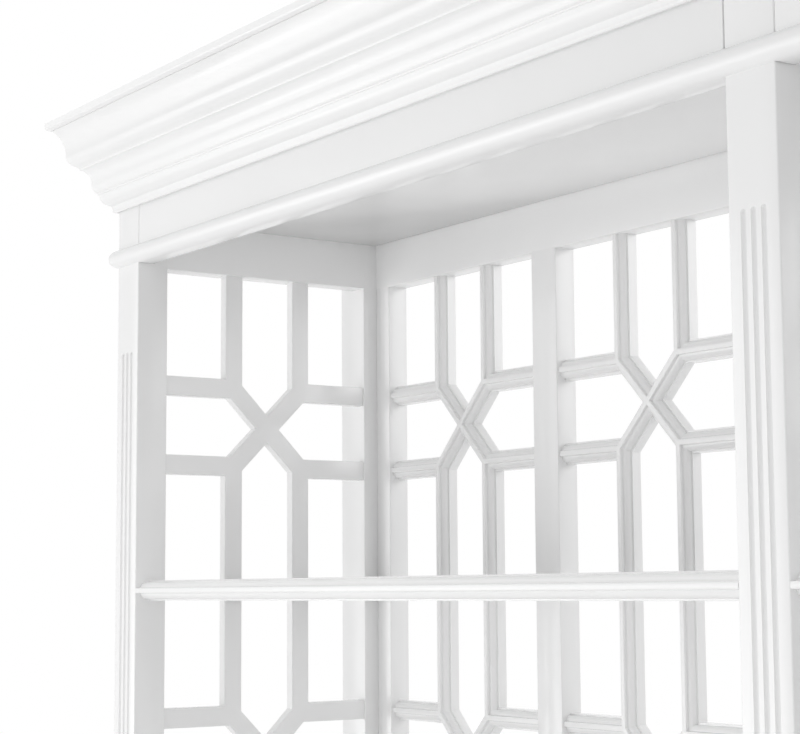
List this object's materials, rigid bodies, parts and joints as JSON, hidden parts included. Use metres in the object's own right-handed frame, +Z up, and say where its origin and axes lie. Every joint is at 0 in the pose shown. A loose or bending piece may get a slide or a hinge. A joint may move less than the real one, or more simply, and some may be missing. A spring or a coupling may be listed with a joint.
{
  "type": "open book cabinet",
  "caption": "Tall white double-bay open book cabinet with stepped cornice, fluted posts, reeded shelves and geometric fret panels in its back and sides.",
  "frame": {"origin": "at floor level under the middle of the cabinet's whole box, cornice included", "axes": "+X along the front to the viewer's right, +Y from the front to the back, +Z up"},
  "size_m": [2.45, 0.4654, 2.4],
  "materials": {
    "white_lacquer": "semi-gloss sprayed white lacquer on wood",
    "beech": "bare turned beech"
  },
  "bodies": {
    "root": {"cap_board": "white_lacquer", "centre_front_post": "white_lacquer", "centre_rear_post": "white_lacquer", "divider_bottom_rail": "white_lacquer", "divider_fret": "white_lacquer", "divider_top_rail": "white_lacquer", "face_board_dowels": "beech", "front_bead": "white_lacquer", "front_cornice": "white_lacquer", "left_back_bottom_rail": "white_lacquer", "left_back_end_stile": "white_lacquer", "left_back_fret_1": "white_lacquer", "left_back_fret_2": "white_lacquer", "left_back_fret_3": "white_lacquer", "left_back_inner_stile": "white_lacquer", "left_back_outer_stile": "white_lacquer", "left_back_top_rail": "white_lacquer", "left_bead": "white_lacquer", "left_bottom_board": "white_lacquer", "left_ceiling": "white_lacquer", "left_cornice": "white_lacquer", "left_frieze": "white_lacquer", "left_front_post": "white_lacquer", "left_plinth": "white_lacquer", "left_rear_post": "white_lacquer", "left_shelf_1": "white_lacquer", "left_shelf_2": "white_lacquer", "left_shelf_3": "white_lacquer", "left_shelf_4": "white_lacquer", "left_side_bottom_rail": "white_lacquer", "left_side_fret": "white_lacquer", "left_side_frieze": "white_lacquer", "left_side_plinth": "white_lacquer", "left_side_top_rail": "white_lacquer", "right_back_bottom_rail": "white_lacquer", "right_back_end_stile": "white_lacquer", "right_back_fret_1": "white_lacquer", "right_back_fret_2": "white_lacquer", "right_back_fret_3": "white_lacquer", "right_back_inner_stile": "white_lacquer", "right_back_outer_stile": "white_lacquer", "right_back_top_rail": "white_lacquer", "right_bead": "white_lacquer", "right_bottom_board": "white_lacquer", "right_ceiling": "white_lacquer", "right_cornice": "white_lacquer", "right_frieze": "white_lacquer", "right_front_post": "white_lacquer", "right_plinth": "white_lacquer", "right_rear_post": "white_lacquer", "right_shelf_1": "white_lacquer", "right_shelf_2": "white_lacquer", "right_shelf_3": "white_lacquer", "right_shelf_4": "white_lacquer", "right_side_bottom_rail": "white_lacquer", "right_side_fret": "white_lacquer", "right_side_frieze": "white_lacquer", "right_side_plinth": "white_lacquer", "right_side_top_rail": "white_lacquer", "shelf_dowels": "beech"}
  },
  "joints": []
}
